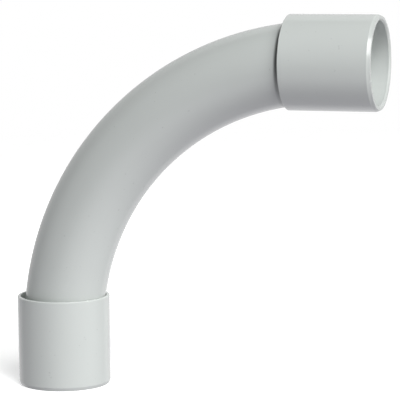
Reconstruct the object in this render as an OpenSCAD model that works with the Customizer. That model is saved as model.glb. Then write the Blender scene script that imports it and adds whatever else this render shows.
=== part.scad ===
// Rigid PVC conduit bend: a bent tube with a push-fit coupler on each end.
// The lower coupler's free mouth is centred on the origin and faces down.
// The bend turns from +Z towards +X in the XZ plane, and sizes are in millimetres.

/* [Bent tube] */
// Outside diameter of the conduit tube
tube_d = 25; // [16:0.5:40]
// Wall of the conduit tube
tube_wall = 1.8; // [1:0.1:3.5]
// Radius of the bend, at the tube's centre line
bend_radius = 85; // [60:1:200]
// Angle that the tube turns through
bend_angle = 90; // [30:5:180]
// Straight length of tube left at each end of the bend
straight_end = 2; // [1:0.5:60]
// Chamfer round the outside of each sawn tube end
saw_chamfer = 0.4; // [0.2:0.1:0.8]
// How far the sized ends stand back from the bent stretch, inside and out
end_sizing = 0.02; // [0.01:0.01:0.1]

/* [Couplers] */
// Depth of the socket at each end of a coupler
socket_depth = 13.25; // [8:0.25:24]
// Width of the stop ring in the middle of a coupler
stop_width = 1.5; // [1:0.1:4]
// Height that the stop ring stands in from the socket
stop_height = 1.7; // [0.8:0.1:2.5]
// Wall of the free socket
socket_wall = 1.8; // [1.2:0.1:4]
// Thinnest wall at the rim of the bell that takes the tube
rim_wall = 0.9; // [0.7:0.05:2]
// Chamfer that leads a conduit into the free mouth
lead_in = 0.7; // [0.3:0.1:1]
// Length of the chamfer round the outside of the free mouth
mouth_edge_length = 1.1; // [0.4:0.1:3]
// Height of the chamfer round the outside of the free mouth
mouth_edge_height = 0.45; // [0.2:0.05:0.5]
// Chamfer round the outside of the bell's rim
rim_edge = 0.35; // [0.1:0.05:0.45]

/* [Fits] */
// Gap all round between a conduit and the free socket
socket_clearance = 0.1; // [0.05:0.01:0.4]
// Gap all round between the tube's straight end and its socket
grip_clearance = 0.05; // [0.02:0.01:0.1]
// Gap between the bell's rim and the inside of the curve
bell_clearance = 0.14; // [0.1:0.02:0.6]
// Gap between the tube's end and the stop ring
end_gap = 0.1; // [0.05:0.05:1]

/* [Hidden] */
round_fn = 96;
pipe_grey = "#c9cdc9";
coupler_grey = "#d0d4d0";

// Tube: each sized end runs on a little way inside the wall of the bent stretch
tube_r = tube_d / 2;
tube_bore_r = tube_r - tube_wall;
end_r = tube_r - end_sizing;
end_bore_r = tube_bore_r + end_sizing;
end_overlap = 0.5;
tube_end_z = socket_depth + stop_width + end_gap;
bend_start_z = tube_end_z + straight_end;

// Coupler: its own Z runs from the free mouth up to the bell's rim
coupler_length = 2 * socket_depth + stop_width;
socket_r = tube_r + socket_clearance;
stop_r = socket_r - stop_height;
grip_r = tube_r + grip_clearance;
// The bell opens from where the tube starts to curve, and clears the curve at the rim
curve_in_bell = max(0, coupler_length - bend_start_z);
inner_bend_r = bend_radius - tube_r;
curve_offset = inner_bend_r - sqrt(pow(inner_bend_r, 2) - pow(curve_in_bell, 2));
bell_r = tube_r + curve_offset + bell_clearance;
grip_end_z = min(bend_start_z, coupler_length - lead_in);
coupler_r = max(socket_r + socket_wall, bell_r + rim_wall);

// Outline of one coupler, turned about its axis
function coupler_outline() = [
    [socket_r + lead_in, 0],
    [socket_r, lead_in],
    [socket_r, socket_depth],
    [stop_r, socket_depth],
    [stop_r, socket_depth + stop_width],
    [grip_r, socket_depth + stop_width],
    [grip_r, grip_end_z],
    [bell_r, coupler_length],
    [coupler_r - rim_edge, coupler_length],
    [coupler_r, coupler_length - rim_edge],
    [coupler_r, mouth_edge_length],
    [coupler_r - mouth_edge_height, 0]
];

// Outline of one sawn tube end, from the saw cut up into the start of the bend
function tube_end_outline() = [
    [end_bore_r, 0],
    [end_r - saw_chamfer, 0],
    [end_r, saw_chamfer],
    [end_r, straight_end + end_overlap],
    [end_bore_r, straight_end + end_overlap]
];

// Puts its children on the far leg, turned round so that their +Z points back along the tube
module on_far_leg() {
    translate([bend_radius, 0, bend_start_z])
        rotate([0, bend_angle, 0])
            translate([-bend_radius, 0, bend_start_z])
                rotate([180, 0, 0])
                    children();
}

module tube_end() {
    translate([0, 0, tube_end_z])
        rotate_extrude($fn = round_fn) polygon(tube_end_outline());
}

module tube_arc() {
    translate([bend_radius, 0, bend_start_z])
        rotate([90, 0, 0])
            rotate([0, 0, 180 - bend_angle])
                rotate_extrude(angle = bend_angle, $fn = round_fn)
                    translate([bend_radius, 0])
                        difference() {
                            circle(r = tube_r, $fn = round_fn);
                            circle(r = tube_bore_r, $fn = round_fn);
                        }
}

module coupler() {
    rotate_extrude($fn = round_fn) polygon(coupler_outline());
}

module bent_tube() {
    color(pipe_grey)
        union() {
            tube_end();
            tube_arc();
            on_far_leg() tube_end();
        }
}

module lower_coupler() {
    color(coupler_grey) coupler();
}

module upper_coupler() {
    color(coupler_grey) on_far_leg() coupler();
}

bent_tube();
lower_coupler();
upper_coupler();
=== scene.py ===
"""Looks of a rigid conduit bend with a push-fit coupler on each end.

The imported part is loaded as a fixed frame. Its tube and its two couplers are built again with
rounded edges and a satin plastic finish, and stand on a pale floor in soft light.
Lengths are in metres.
"""

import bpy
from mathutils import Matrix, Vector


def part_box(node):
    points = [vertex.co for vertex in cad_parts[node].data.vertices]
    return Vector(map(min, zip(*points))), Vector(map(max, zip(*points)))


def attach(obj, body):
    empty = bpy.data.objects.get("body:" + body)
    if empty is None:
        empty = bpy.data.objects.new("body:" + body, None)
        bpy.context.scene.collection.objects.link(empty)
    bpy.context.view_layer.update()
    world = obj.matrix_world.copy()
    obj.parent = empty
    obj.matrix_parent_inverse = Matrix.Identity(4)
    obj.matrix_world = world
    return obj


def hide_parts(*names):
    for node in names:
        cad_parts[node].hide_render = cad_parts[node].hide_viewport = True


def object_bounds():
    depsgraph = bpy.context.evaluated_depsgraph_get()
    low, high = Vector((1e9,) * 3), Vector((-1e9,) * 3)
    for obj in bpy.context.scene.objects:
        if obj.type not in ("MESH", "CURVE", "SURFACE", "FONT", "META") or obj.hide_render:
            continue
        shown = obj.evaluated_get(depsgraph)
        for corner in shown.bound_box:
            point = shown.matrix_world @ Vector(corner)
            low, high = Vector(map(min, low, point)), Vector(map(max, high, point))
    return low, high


bl_info = {
    "name": "Conduit Bend",
    "version": (1, 0, 0),
    "blender": (4, 5, 0),
    "location": "3D View > Sidebar > Conduit Bend",
    "description": "Builds the looks of a rigid conduit bend and its two couplers",
    "category": "Object",
}

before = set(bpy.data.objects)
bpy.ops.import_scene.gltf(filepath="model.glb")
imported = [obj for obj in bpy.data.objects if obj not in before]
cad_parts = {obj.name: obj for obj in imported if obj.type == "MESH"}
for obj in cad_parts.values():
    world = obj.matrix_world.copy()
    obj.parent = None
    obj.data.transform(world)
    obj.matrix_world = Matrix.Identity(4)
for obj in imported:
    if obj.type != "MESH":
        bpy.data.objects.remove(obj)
cad_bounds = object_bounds()

import math

import bmesh
import bpy
from bpy.props import FloatProperty, FloatVectorProperty, IntProperty, PointerProperty
from mathutils import Matrix, Vector

MM = 0.001

# Name of the attribute that holds where a vertex lies on the straight piece
LAY = "lay"

# Both plastics: the darkest and palest share of their colour, and the shade and strength of specks
DARK_TONE = 0.93
PALE_TONE = 1.07
SPECK_SHADE = 0.55
SPECK_STRENGTH = 0.25

# Relief of a satin and of a sawn surface, as the strength and the depth of a bump
SATIN_RELIEF = (0.5, 0.03 * MM)
SAWN_RELIEF = (0.8, 0.08 * MM)

# Refractive index of rigid PVC
PLASTIC_IOR = 1.53

# Painted shadow line on the tube: where it fades in and out, measured along X from the upper
# coupler's rim, the heights about the coupler's axis between which it grows, and its least
# strength
SHADOW_FADE_IN = (-1.8 * MM, -0.9 * MM)
SHADOW_FADE_OUT = (-0.2 * MM, 0.4 * MM)
SHADOW_GROWTH = (-12 * MM, 2 * MM)
SHADOW_LEAST = 0.3

# Longest side of a face along the tube and along a coupler
TUBE_STEP = 1 * MM
COUPLER_STEP = 2 * MM

# Rounding of the tube's fine edges, and the depth of a sawn face
TUBE_FINE_EDGE = 0.1 * MM
SAWN_DEPTH = 0.15 * MM

# Rounding inside a coupler, where the stop ring meets the grip and where the grip meets the bell
GRIP_CORNER = 0.04 * MM
BELL_CORNER = 2 * MM

# Strips of a coupler: where the darker one at the free mouth fades out, measured from the mouth,
# and where the painted highlight at the bell's rim fades in, measured back from the rim
MOUTH_FADE = (0.2 * MM, 1.3 * MM)
RIM_FADE = (0.7 * MM, 0.1 * MM)

# Where the bright parts of the room begin and end, as one coordinate of a direction one unit long
LEFT_WALL_EDGE = (-0.9, -0.5)
TABLE_EDGE = (-0.6, -0.1)
BACKDROP_EDGE = (0.50, 0.62)

# Where the middle of the floor lies along X, and where it fades, as shares of its radius
FLOOR_MIDDLE = 0.05
FLOOR_FADE = (0.35, 0.95)

lower_low, lower_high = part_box("lower_coupler")
upper_low, upper_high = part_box("upper_coupler")
tube_low, tube_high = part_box("bent_tube")


# Sizes and colours

class BentTubeSettings(bpy.types.PropertyGroup):
    """Sizes and finish of the bent tube"""

    radius: FloatProperty(
        name="Radius", description="Outside radius of the tube",
        default=tube_high.y, min=5 * MM, unit="LENGTH",
    )
    wall: FloatProperty(
        name="Wall", description="Thickness of the tube's wall",
        default=1.8 * MM, min=0.5 * MM, unit="LENGTH",
    )
    straight_end: FloatProperty(
        name="Straight End", description="Straight length of tube left at each end of the bend",
        default=2 * MM, min=0, unit="LENGTH",
    )
    saw_chamfer: FloatProperty(
        name="Saw Chamfer", description="Chamfer round the outside of each sawn end",
        default=0.4 * MM, min=0, unit="LENGTH",
    )
    flattening: FloatProperty(
        name="Flattening",
        description="How much radius the middle of the bend loses in its own plane",
        default=0.06 * MM, min=0, unit="LENGTH",
    )
    around: IntProperty(
        name="Faces Around", description="Number of faces round the tube",
        default=160, min=24,
    )
    colour: FloatVectorProperty(
        name="Colour", description="Colour of the tube's plastic",
        default=(0.578, 0.607, 0.592), min=0, max=1, subtype="COLOR",
    )
    roughness: FloatProperty(
        name="Roughness", description="Roughness of the tube's drawn surface",
        default=0.18, min=0, max=1, subtype="FACTOR",
    )
    # Darkness of the painted shadow line along the upper coupler's rim
    rim_shadow: FloatProperty(
        name="Rim Mark", description="Darkness of the painted shadow line along the upper coupler's rim",
        default=0.75, min=0, max=1, subtype="FACTOR",
    )


class CouplerSettings(bpy.types.PropertyGroup):
    """Sizes and finish of both couplers"""

    radius: FloatProperty(
        name="Radius", description="Outside radius of a coupler",
        default=lower_high.x, min=5 * MM, unit="LENGTH",
    )
    length: FloatProperty(
        name="Length", description="Length of a coupler",
        default=lower_high.z - lower_low.z, min=10 * MM, unit="LENGTH",
    )
    socket_radius: FloatProperty(
        name="Socket Radius", description="Inside radius of the free socket",
        default=lower_high.x - 1.8 * MM, min=4 * MM, unit="LENGTH",
    )
    socket_depth: FloatProperty(
        name="Socket Depth", description="Depth of the free socket, down to the stop ring",
        default=13.25 * MM, min=3 * MM, unit="LENGTH",
    )
    stop_width: FloatProperty(
        name="Stop Width", description="Width of the stop ring",
        default=1.5 * MM, min=0.5 * MM, unit="LENGTH",
    )
    stop_height: FloatProperty(
        name="Stop Height", description="Height of the stop ring above the free socket",
        default=1.7 * MM, min=0.2 * MM, unit="LENGTH",
    )
    grip_radius: FloatProperty(
        name="Grip Radius", description="Inside radius where the tube's straight end is held",
        default=tube_high.y + 0.05 * MM, min=4 * MM, unit="LENGTH",
    )
    bell_radius: FloatProperty(
        name="Bell Radius", description="Inside radius of the bell at its rim",
        default=tube_high.y + 0.997 * MM, min=4 * MM, unit="LENGTH",
    )
    lead_in: FloatProperty(
        name="Lead-in", description="Chamfer inside the free mouth",
        default=0.5 * MM, min=0, unit="LENGTH",
    )
    mouth_edge_length: FloatProperty(
        name="Mouth Edge Length",
        description="Length of the chamfer round the outside of the free mouth",
        default=1.1 * MM, min=0, unit="LENGTH",
    )
    mouth_edge_height: FloatProperty(
        name="Mouth Edge Height",
        description="Height of the chamfer round the outside of the free mouth",
        default=0.45 * MM, min=0, unit="LENGTH",
    )
    rim_edge: FloatProperty(
        name="Rim Edge", description="Chamfer round the outside of the bell's rim",
        default=0.22 * MM, min=0, unit="LENGTH",
    )
    edge_round: FloatProperty(
        name="Edge Round", description="Radius that each moulded edge is rounded to",
        default=0.14 * MM, min=0.01 * MM, unit="LENGTH",
    )
    around: IntProperty(
        name="Faces Around", description="Number of faces round a coupler",
        default=192, min=24,
    )
    colour: FloatVectorProperty(
        name="Colour", description="Colour of the couplers' plastic",
        default=(0.606, 0.636, 0.620), min=0, max=1, subtype="COLOR",
    )
    roughness: FloatProperty(
        name="Roughness", description="Roughness of the couplers' moulded surface",
        default=0.18, min=0, max=1, subtype="FACTOR",
    )


class StageSettings(bpy.types.PropertyGroup):
    """The floor, the lights and the camera"""

    floor_colour: FloatVectorProperty(
        name="Floor Colour", description="Colour of the floor",
        default=(0.93, 0.93, 0.93), min=0, max=1, subtype="COLOR",
    )
    floor_radius: FloatProperty(
        name="Floor Radius", description="Radius at which the floor has faded into the background",
        default=0.9, min=0.2, unit="LENGTH",
    )
    floor_glow: FloatProperty(
        name="Floor Glow", description="Brightness that the floor has without any light on it",
        default=0.5, min=0, subtype="FACTOR",
    )
    background: FloatProperty(
        name="Background", description="Brightness of the background that the camera sees",
        default=1.0, min=0, subtype="FACTOR",
    )
    room: FloatVectorProperty(
        name="Room", description="Light that comes from all round",
        default=(0.04, 0.045, 0.045), min=0, subtype="COLOR",
    )
    left_wall: FloatVectorProperty(
        name="Left Wall", description="Light that comes from the wall on the left",
        default=(0.50, 0.50, 0.50), min=0, subtype="COLOR",
    )
    backdrop: FloatVectorProperty(
        name="Backdrop", description="Light that comes from the white backdrop behind the object",
        default=(0.78, 0.78, 0.78), min=0, subtype="COLOR",
    )
    table: FloatVectorProperty(
        name="Table", description="Light that comes up from the white table",
        default=(0.42, 0.405, 0.435), min=0, subtype="COLOR",
    )
    camera_place: FloatVectorProperty(
        name="Camera Place", description="Where the camera stands",
        default=(0.24226, -0.60767, 0.14348), subtype="TRANSLATION", unit="LENGTH",
    )
    camera_azimuth: FloatProperty(
        name="Camera Azimuth", description="How far the camera has gone round from the front",
        default=math.radians(17.955), subtype="ANGLE",
    )
    camera_elevation: FloatProperty(
        name="Camera Elevation", description="How far the camera looks down",
        default=math.radians(7.5), subtype="ANGLE",
    )
    camera_roll: FloatProperty(
        name="Camera Roll", description="How far the camera is rolled",
        default=math.radians(-0.537), subtype="ANGLE",
    )
    camera_lens: FloatProperty(
        name="Camera Lens", description="Focal length for a sensor 36 mm wide",
        default=189.62, min=10, subtype="DISTANCE_CAMERA",
    )


# Shader nodes

class Socket:
    """An output socket, on which arithmetic adds Math nodes to its material"""

    def __init__(self, finish, socket):
        self.finish = finish
        self.socket = socket

    def math(self, operation, *terms):
        return self.finish.add("ShaderNodeMath", {"operation": operation}, dict(enumerate(terms)))

    def __add__(self, other):
        return self.math("ADD", self, other)

    def __sub__(self, other):
        return self.math("SUBTRACT", self, other)

    def __rsub__(self, other):
        return self.math("SUBTRACT", other, self)

    def __mul__(self, other):
        return self.math("MULTIPLY", self, other)

    __radd__ = __add__
    __rmul__ = __mul__


class Finish:
    """A node tree being built, and the method that adds any node to it"""

    def __init__(self, tree):
        self.tree = tree
        self.tree.nodes.clear()

    def add(self, kind, settings=None, values=None, output=0):
        """Adds a node, sets it, fills or links its sockets and returns one of its outputs"""
        node = self.tree.nodes.new(kind)
        for name, setting in (settings or {}).items():
            setattr(node, name, setting)
        for key, value in (values or {}).items():
            if isinstance(value, Socket):
                self.tree.links.new(value.socket, node.inputs[key])
            else:
                node.inputs[key].default_value = value
        return Socket(self, node.outputs[output]) if node.outputs else None

    def noise(self, where, scale, detail=2.0):
        """Noise from 0 to 1 at the given place"""
        values = {"Vector": where, "Scale": scale, "Detail": detail}
        return self.add("ShaderNodeTexNoise", None, values)

    def ramp(self, value, low, high):
        """0 below low, 1 above high and smooth between"""
        values = {"Value": value, "From Min": low, "From Max": high}
        return self.add("ShaderNodeMapRange", {"interpolation_type": "SMOOTHSTEP"}, values)

    def mix(self, share, first, second):
        """A colour between two colours"""
        values = {0: share, 6: first, 7: second}
        return self.add("ShaderNodeMix", {"data_type": "RGBA"}, values, output=2)

    def stretch(self, where, factors, shift=(0, 0, 0)):
        """The place with its three directions scaled and then shifted"""
        values = {0: where, 1: factors, 2: shift}
        return self.add("ShaderNodeVectorMath", {"operation": "MULTIPLY_ADD"}, values)

    def part(self, where, axis):
        """One coordinate of a place"""
        return self.add("ShaderNodeSeparateXYZ", None, {0: where}, output=axis)

    def lay(self):
        """Where a point lies on the straight piece"""
        return self.add("ShaderNodeAttribute", {"attribute_name": LAY}, output="Vector")

    def bump(self, height, strength, depth):
        """The surface's direction, tilted by small relief"""
        values = {"Strength": strength, "Distance": depth, "Height": height}
        return self.add("ShaderNodeBump", None, values)


def new_finish(name):
    """A new material and the finish that fills it"""
    material = bpy.data.materials.new(name)
    material.use_nodes = True
    return material, Finish(material.node_tree)


def opaque(colour, share=1.0):
    """A colour times a share, with the alpha that a socket wants"""
    return tuple(share * part for part in colour) + (1.0,)


def swing(noise, amount):
    """Noise as a change either way of up to half the amount"""
    return (noise - 0.5) * amount


def plastic_colour(finish, colour, tone, specks):
    """The plastic's colour, a little darker or paler with the tone, with faint dark specks"""
    toned = finish.mix(tone, opaque(colour, DARK_TONE), opaque(colour, PALE_TONE))
    return finish.mix(specks * SPECK_STRENGTH, toned, opaque(colour, SPECK_SHADE))


# Meshes

def rounded_outline(corners, longest):
    """Closed outline of (radius, length) points, from corners of (radius, length, rounding).

    Each corner becomes an arc, and each long side is divided so that no part passes longest.
    """
    arcs = [
        corner_arc(corners[i - 1], corners[i], corners[(i + 1) % len(corners)])
        for i in range(len(corners))
    ]
    outline = []
    for arc, following in zip(arcs, arcs[1:] + arcs[:1]):
        outline += arc
        outline += between(arc[-1], following[0], longest)
    return outline


def corner_arc(before, corner, after, turn_step=math.radians(15), reach=0.45):
    """Points of the arc that rounds one corner. It takes at most the share reach of each side."""
    here = Vector(corner[:2])
    back = Vector(before[:2]) - here
    ahead = Vector(after[:2]) - here
    opening = back.angle(ahead)
    tangent = corner[2] / math.tan(opening / 2)
    tangent = min(tangent, reach * back.length, reach * ahead.length)
    radius = tangent * math.tan(opening / 2)
    back.normalize()
    ahead.normalize()
    centre = here + (back + ahead).normalized() * radius / math.sin(opening / 2)
    start = here + back * tangent - centre
    turn = start.angle_signed(here + ahead * tangent - centre)
    steps = max(1, math.ceil(abs(turn) / turn_step))
    points = []
    for step in range(steps + 1):
        points.append(centre + Matrix.Rotation(-turn * step / steps, 2) @ start)
    return points


def between(start, end, longest, support=0.06 * MM):
    """Points inside a side of an outline, with one close to each end to keep the side flat"""
    span = end - start
    if span.length < 3 * support:
        return []
    first = start + span.normalized() * support
    last = end - span.normalized() * support
    parts = max(1, math.ceil((last - first).length / longest))
    return [first.lerp(last, part / parts) for part in range(parts + 1)]


def turned_mesh(name, outline, around, place):
    """Mesh of a closed outline turned about an axis, which may be curved.

    place(radius, angle, length) gives a point's place. Each vertex also keeps where it lies on
    the straight axis, and materials read that.
    """
    shape = bmesh.new()
    lay = shape.verts.layers.float_vector.new(LAY)
    rings = []
    for radius, length in outline:
        ring = []
        for step in range(around):
            angle = math.tau * step / around
            vertex = shape.verts.new(place(radius, angle, length))
            vertex[lay] = (radius * math.cos(angle), radius * math.sin(angle), length)
            ring.append(vertex)
        rings.append(ring)
    for ring, following in zip(rings, rings[1:] + rings[:1]):
        for step in range(around):
            after = (step + 1) % around
            face = shape.faces.new((ring[step], ring[after], following[after], following[step]))
            face.smooth = True
    bmesh.ops.recalc_face_normals(shape, faces=shape.faces)
    mesh = bpy.data.meshes.new(name)
    shape.to_mesh(mesh)
    shape.free()
    return mesh


def add_piece(name, mesh, node):
    """Puts a finished piece in the scene in place of its CAD node"""
    piece = bpy.data.objects.new(name, mesh)
    bpy.context.scene.collection.objects.link(piece)
    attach(piece, node)
    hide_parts(node)


# Bent tube

def bend_sizes(settings):
    """Radius of the bend and length of its arc, both along the tube's centre line"""
    bend_radius = tube_high.x - settings.straight_end
    return bend_radius, bend_radius * math.pi / 2


def tube_length(settings):
    """Length of the whole tube along its centre line"""
    return bend_sizes(settings)[1] + 2 * settings.straight_end


def tube_outline(settings):
    """The wall of the straight tube, from bore to outside, with sawn ends"""
    bore = settings.radius - settings.wall
    length = tube_length(settings)
    fine = TUBE_FINE_EDGE
    chamfer = settings.saw_chamfer
    corners = [
        (bore, 0, fine),
        (settings.radius - chamfer, 0, fine),
        (settings.radius, chamfer, chamfer),
        (settings.radius, length - chamfer, chamfer),
        (settings.radius - chamfer, length, fine),
        (bore, length, fine),
    ]
    return rounded_outline(corners, TUBE_STEP)


def tube_place(settings):
    """A function that gives the place of a point of the tube"""
    bend_radius, arc = bend_sizes(settings)
    centre = Vector((bend_radius, 0, tube_low.z + settings.straight_end))

    def place(radius, angle, along):
        into_bend = min(max(along - settings.straight_end, 0), arc)
        past_bend = along - settings.straight_end - into_bend
        turn = into_bend / bend_radius
        squeeze = settings.flattening * math.sin(math.pi * into_bend / arc) ** 2
        across = (radius - squeeze) * math.cos(angle)
        side = (radius + squeeze) * math.sin(angle)
        outward = Vector((-math.cos(turn), 0, math.sin(turn))) * (bend_radius - across)
        forward = Vector((math.sin(turn), 0, math.cos(turn))) * past_bend
        return centre + outward + forward + Vector((0, side, 0))

    return place


def drawn_plastic(settings):
    """Satin drawn plastic, with faint lines along the tube"""
    material, finish = new_finish("tube_drawn_plastic")
    lay = finish.lay()
    lines = finish.noise(finish.stretch(lay, (1, 1, 0.012)), scale=1500, detail=3)
    clouds = finish.noise(lay, scale=55, detail=3)
    grain = finish.noise(lay, scale=2600)
    specks = finish.ramp(finish.noise(lay, scale=900, detail=1), 0.74, 0.80)
    tone = 0.5 + swing(clouds, 0.30) + swing(lines, 0.12)
    colour = plastic_colour(finish, settings.colour, tone, specks)
    # Painted shadow along the upper coupler's rim, darkening the tube's colour there
    colour = finish.mix(rim_painted_shadow(finish) * settings.rim_shadow, colour, opaque(settings.colour, 0.1))
    rough = settings.roughness + swing(clouds, 0.08) + swing(lines, 0.05)
    height = lines * 0.05 + grain * 0.06 + clouds * 1.2
    plastic(finish, colour, rough, finish.bump(height, *SATIN_RELIEF))
    return material


def rim_painted_shadow(finish):
    """Strength of a painted shadow line along the upper coupler's rim, fainter on the underside"""
    place = finish.add("ShaderNodeTexCoord", output="Object")
    across = finish.part(place, "X")
    height = finish.part(place, "Z")
    rim = upper_low.x
    axis = (upper_low.z + upper_high.z) / 2
    line = finish.ramp(across, rim + SHADOW_FADE_IN[0], rim + SHADOW_FADE_IN[1])
    line = line * (1 - finish.ramp(across, rim + SHADOW_FADE_OUT[0], rim + SHADOW_FADE_OUT[1]))
    growth = finish.ramp(height, axis + SHADOW_GROWTH[0], axis + SHADOW_GROWTH[1])
    return line * (SHADOW_LEAST + (1 - SHADOW_LEAST) * growth)


def sawn_plastic(settings):
    """The paler, rougher face that a saw leaves"""
    material, finish = new_finish("tube_sawn_plastic")
    lay = finish.lay()
    strokes = finish.noise(finish.stretch(lay, (1, 0.06, 1)), scale=2400, detail=3)
    clouds = finish.noise(lay, scale=300)
    tone = strokes * 0.6 + clouds * 0.4
    colour = finish.mix(tone, opaque(settings.colour, 0.98), opaque(settings.colour, 1.22))
    rough = 0.55 + strokes * 0.25
    plastic(finish, colour, rough, finish.bump(strokes, *SAWN_RELIEF))
    return material


def plastic(finish, colour, rough, relief):
    """The shader that every plastic surface ends in"""
    values = {"Base Color": colour, "Roughness": rough, "Normal": relief, "IOR": PLASTIC_IOR}
    shader = finish.add("ShaderNodeBsdfPrincipled", None, values)
    finish.add("ShaderNodeOutputMaterial", None, {"Surface": shader})


def mark_sawn_faces(mesh, length):
    """Gives the faces at both ends of the tube the second material"""
    lays = mesh.attributes[LAY].data
    for face in mesh.polygons:
        middle = sum(lays[i].vector.z for i in face.vertices) / len(face.vertices)
        if min(middle, length - middle) < SAWN_DEPTH:
            face.material_index = 1


class CONDUIT_OT_bent_tube(bpy.types.Operator):
    """Build the bent tube in place of its CAD node"""

    bl_idname = "conduit.bent_tube"
    bl_label = "Bent Tube"

    def execute(self, context):
        settings = context.scene.conduit_tube
        outline = tube_outline(settings)
        mesh = turned_mesh("bent_tube_shell", outline, settings.around, tube_place(settings))
        mesh.materials.append(drawn_plastic(settings))
        mesh.materials.append(sawn_plastic(settings))
        mark_sawn_faces(mesh, tube_length(settings))
        add_piece("bent_tube_shell", mesh, "bent_tube")
        return {"FINISHED"}


# Couplers

def coupler_outline(settings, straight_end):
    """The wall of a coupler, whose own length runs from its free mouth to the bell's rim.

    straight_end is the length of tube that the grip holds.
    """
    fine = settings.edge_round
    stop = settings.socket_radius - settings.stop_height
    stop_end = settings.socket_depth + settings.stop_width
    grip_end = tube_low.z + straight_end
    corners = [
        (settings.socket_radius + settings.lead_in, 0, fine),
        (settings.socket_radius, settings.lead_in, fine),
        (settings.socket_radius, settings.socket_depth, fine),
        (stop, settings.socket_depth, fine),
        (stop, stop_end, fine),
        (settings.grip_radius, stop_end, GRIP_CORNER),
        (settings.grip_radius, grip_end, BELL_CORNER),
        (settings.bell_radius, settings.length, fine),
        (settings.radius - settings.rim_edge, settings.length, fine),
        (settings.radius, settings.length - settings.rim_edge, fine),
        (settings.radius, settings.mouth_edge_length, fine),
        (settings.radius - settings.mouth_edge_height, 0, fine),
    ]
    return rounded_outline(corners, COUPLER_STEP)


def moulded_plastic(settings, name, shift):
    """Satin moulded plastic, darker at the free mouth, with a painted highlight at the bell's rim
    """
    material, finish = new_finish(name)
    lay = finish.lay()
    place = finish.stretch(lay, (1, 1, 1), shift)
    along = finish.part(lay, "Z")
    clouds = finish.noise(place, scale=60, detail=3)
    grain = finish.noise(place, scale=2200)
    specks = finish.ramp(finish.noise(place, scale=800, detail=1), 0.73, 0.80)
    near_mouth = 1 - finish.ramp(along, *MOUTH_FADE)
    near_rim = finish.ramp(along, settings.length - RIM_FADE[0], settings.length - RIM_FADE[1])
    rub = (near_mouth + near_rim) * finish.noise(place, scale=500, detail=3)
    tone = 0.5 + swing(clouds, 0.30) + swing(grain, 0.08)
    colour = plastic_colour(finish, settings.colour, tone, specks)
    # Painted highlight along the bell's rim
    colour = finish.mix(near_rim * 0.3, colour, opaque(settings.colour, 1.15))
    colour = finish.mix(near_mouth * 0.7, colour, opaque(settings.colour, 0.88))
    rough = settings.roughness + swing(clouds, 0.08) + rub * 0.15
    height = grain * 0.07 + clouds * 1.3
    plastic(finish, colour, rough, finish.bump(height, *SATIN_RELIEF))
    return material


class CONDUIT_OT_couplers(bpy.types.Operator):
    """Build both couplers in place of their CAD nodes"""

    bl_idname = "conduit.couplers"
    bl_label = "Couplers"

    def execute(self, context):
        settings = context.scene.conduit_coupler
        outline = coupler_outline(settings, context.scene.conduit_tube.straight_end)
        for node, (stand, shift) in coupler_stands().items():
            name = node + "_shell"
            mesh = turned_mesh(name, outline, settings.around, straight_place(stand))
            mesh.materials.append(moulded_plastic(settings, node + "_plastic", shift))
            add_piece(name, mesh, node)
        return {"FINISHED"}


def coupler_stands():
    """How each coupler stands, and a shift of its noise, so that the two don't look the same"""
    axis = (upper_low.z + upper_high.z) / 2
    upright = Matrix.Identity(4)
    level = Matrix(((0, 0, -1, upper_high.x), (0, 1, 0, 0), (-1, 0, 0, axis), (0, 0, 0, 1)))
    return {
        "lower_coupler": (upright, (0, 0, 0)),
        "upper_coupler": (level, (0.3, 0.1, 0.7)),
    }


def straight_place(stand):
    """A function that gives the place of a point of a coupler stood as the matrix says"""

    def place(radius, angle, along):
        return stand @ Vector((radius * math.cos(angle), radius * math.sin(angle), along))

    return place


# Stage

def floor_mesh(radius, around=96):
    """Mesh of a flat round floor"""
    shape = bmesh.new()
    bmesh.ops.create_circle(shape, cap_ends=True, segments=around, radius=radius)
    mesh = bpy.data.meshes.new("floor")
    shape.to_mesh(mesh)
    shape.free()
    return mesh


def floor_paint(settings):
    """Pale matt paint that fades into the background far from the object"""
    material, finish = new_finish("floor_paint")
    place = finish.add("ShaderNodeTexCoord", output="Object")
    far = finish.add("ShaderNodeVectorMath", {"operation": "LENGTH"}, {0: place}, output="Value")
    fade_start, fade_end = (share * settings.floor_radius for share in FLOOR_FADE)
    fade = finish.ramp(far, fade_start, fade_end)
    matt = finish.add("ShaderNodeBsdfDiffuse", None, {"Color": opaque(settings.floor_colour)})
    glow = finish.add("ShaderNodeEmission", None, {"Strength": settings.floor_glow})
    paint = finish.add("ShaderNodeAddShader", None, {0: matt, 1: glow})
    clear = finish.add("ShaderNodeBsdfTransparent")
    faded = finish.add("ShaderNodeMixShader", None, {0: fade, 1: paint, 2: clear})
    finish.add("ShaderNodeOutputMaterial", None, {"Surface": faded})
    return material


def paint_world(settings):
    """Light from the room, the backdrop and the table. The camera sees an even background."""
    world = bpy.data.worlds.new("studio")
    world.use_nodes = True
    bpy.context.scene.world = world
    finish = Finish(world.node_tree)
    way = finish.add("ShaderNodeTexCoord", output="Generated")
    away = -view_axes(settings.camera_azimuth, 0)[2]
    behind = finish.add(
        "ShaderNodeVectorMath", {"operation": "DOT_PRODUCT"}, {0: way, 1: away}, output="Value"
    )
    left = 1 - finish.ramp(finish.part(way, "X"), *LEFT_WALL_EDGE)
    table = 1 - finish.ramp(finish.part(way, "Z"), *TABLE_EDGE)
    light = finish.mix(left, opaque(settings.room), opaque(settings.left_wall))
    light = finish.mix(table, light, opaque(settings.table))
    light = finish.mix(finish.ramp(behind, *BACKDROP_EDGE), light, opaque(settings.backdrop))
    lit = finish.add("ShaderNodeBackground", None, {"Color": light})
    plain = {"Color": (1, 1, 1, 1), "Strength": settings.background}
    even = finish.add("ShaderNodeBackground", None, plain)
    seen = finish.add("ShaderNodeLightPath", output="Is Camera Ray")
    both = finish.add("ShaderNodeMixShader", None, {0: seen, 1: lit, 2: even})
    finish.add("ShaderNodeOutputWorld", None, {"Surface": both})


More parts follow.
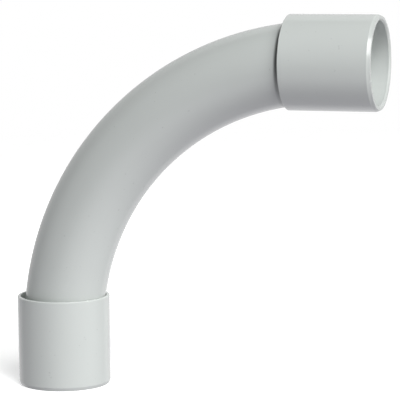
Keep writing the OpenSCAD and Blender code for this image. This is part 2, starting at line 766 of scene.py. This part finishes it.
def add_light(name, azimuth, elevation, distance, width, height, power, colour):
    """A soft box that faces the object's middle. Azimuth and elevation are in degrees."""
    data = bpy.data.lights.new(name, "AREA")
    data.shape = "RECTANGLE"
    data.size = width
    data.size_y = height
    data.energy = power
    data.color = colour
    light = bpy.data.objects.new(name, data)
    middle = (Vector(cad_bounds[0]) + Vector(cad_bounds[1])) / 2
    light.matrix_world = looking_matrix(
        middle, math.radians(azimuth), math.radians(elevation), distance
    )
    bpy.context.scene.collection.objects.link(light)


def view_axes(azimuth, elevation):
    """Right, up and back directions of something that looks at the object"""
    level = math.cos(elevation)
    back = Vector((math.sin(azimuth) * level, -math.cos(azimuth) * level, math.sin(elevation)))
    right = Vector((0, 0, 1)).cross(back).normalized()
    return right, back.cross(right), back


def looking_matrix(target, azimuth, elevation, distance):
    """Where something stands that looks at the target from that distance"""
    right, up, back = view_axes(azimuth, elevation)
    matrix = Matrix((right, up, back)).transposed().to_4x4()
    matrix.translation = target + back * distance
    return matrix


def add_camera(settings):
    """The scene's camera, placed, aimed and rolled as the settings say"""
    right, up, back = view_axes(settings.camera_azimuth, settings.camera_elevation)
    roll = Matrix.Rotation(settings.camera_roll, 3, back)
    axes = Matrix((roll @ right, roll @ up, back)).transposed()
    data = bpy.data.cameras.new("camera")
    data.sensor_width = 36
    data.lens = settings.camera_lens
    data.clip_start = 0.01
    camera = bpy.data.objects.new("camera", data)
    camera.matrix_world = axes.to_4x4()
    camera.location = settings.camera_place
    bpy.context.scene.collection.objects.link(camera)
    bpy.context.scene.camera = camera


# Name, azimuth and elevation in degrees, distance, width, height, power in watts and colour.
# The last one lies just under the floor, for the light that a white table throws back up.
SOFT_BOXES = (
    ("key_light", 36, 50, 2.5, 0.7, 0.7, 24.5, (1.0, 1.0, 1.0)),
    ("front_light", 40, 30, 2.5, 0.6, 0.8, 17, (1.0, 1.0, 1.0)),
    ("side_light", 60, 30, 2.5, 1.1, 1.1, 29, (1.0, 1.0, 0.99)),
    ("edge_light", 90, 8, 2.5, 1.5, 1.5, 11, (1.0, 1.0, 0.97)),
    ("table_bounce", 0, -89.8, 0.065, 0.45, 0.45, 0.12, (1.0, 0.97, 1.03)),
)


class CONDUIT_OT_stage(bpy.types.Operator):
    """Build the floor, the lights and the camera"""

    bl_idname = "conduit.stage"
    bl_label = "Stage"

    def execute(self, context):
        settings = context.scene.conduit_stage
        add_camera(settings)
        floor = bpy.data.objects.new("floor", floor_mesh(settings.floor_radius))
        floor.location = (FLOOR_MIDDLE, 0, lower_low.z)
        floor.data.materials.append(floor_paint(settings))
        # The floor only shows shadows: light from below comes from the world and the bounce light
        floor.visible_diffuse = False
        floor.visible_glossy = False
        floor.visible_shadow = False
        context.scene.collection.objects.link(floor)
        paint_world(settings)
        for soft_box in SOFT_BOXES:
            add_light(*soft_box)
        context.scene.view_settings.view_transform = "Standard"
        return {"FINISHED"}


class CONDUIT_PT_build(bpy.types.Panel):
    """Builds the pieces of the conduit bend"""

    bl_label = "Conduit Bend"
    bl_space_type = "VIEW_3D"
    bl_region_type = "UI"
    bl_category = "Conduit Bend"

    def draw(self, context):
        for operator in OPERATORS:
            self.layout.operator(operator.bl_idname)


SETTINGS = {
    "conduit_tube": BentTubeSettings,
    "conduit_coupler": CouplerSettings,
    "conduit_stage": StageSettings,
}
OPERATORS = (CONDUIT_OT_bent_tube, CONDUIT_OT_couplers, CONDUIT_OT_stage)
CLASSES = (*SETTINGS.values(), *OPERATORS, CONDUIT_PT_build)


def register():
    """Makes the settings, operators and panel known"""
    for group in CLASSES:
        bpy.utils.register_class(group)
    for name, group in SETTINGS.items():
        setattr(bpy.types.Scene, name, PointerProperty(type=group))


def unregister():
    """Takes the settings, operators and panel away again"""
    for name in SETTINGS:
        delattr(bpy.types.Scene, name)
    for group in reversed(CLASSES):
        bpy.utils.unregister_class(group)


def main():
    """Builds the pieces and the stage"""
    register()
    bpy.ops.conduit.bent_tube()
    bpy.ops.conduit.couplers()
    bpy.ops.conduit.stage()


if __name__ == "__main__":
    main()
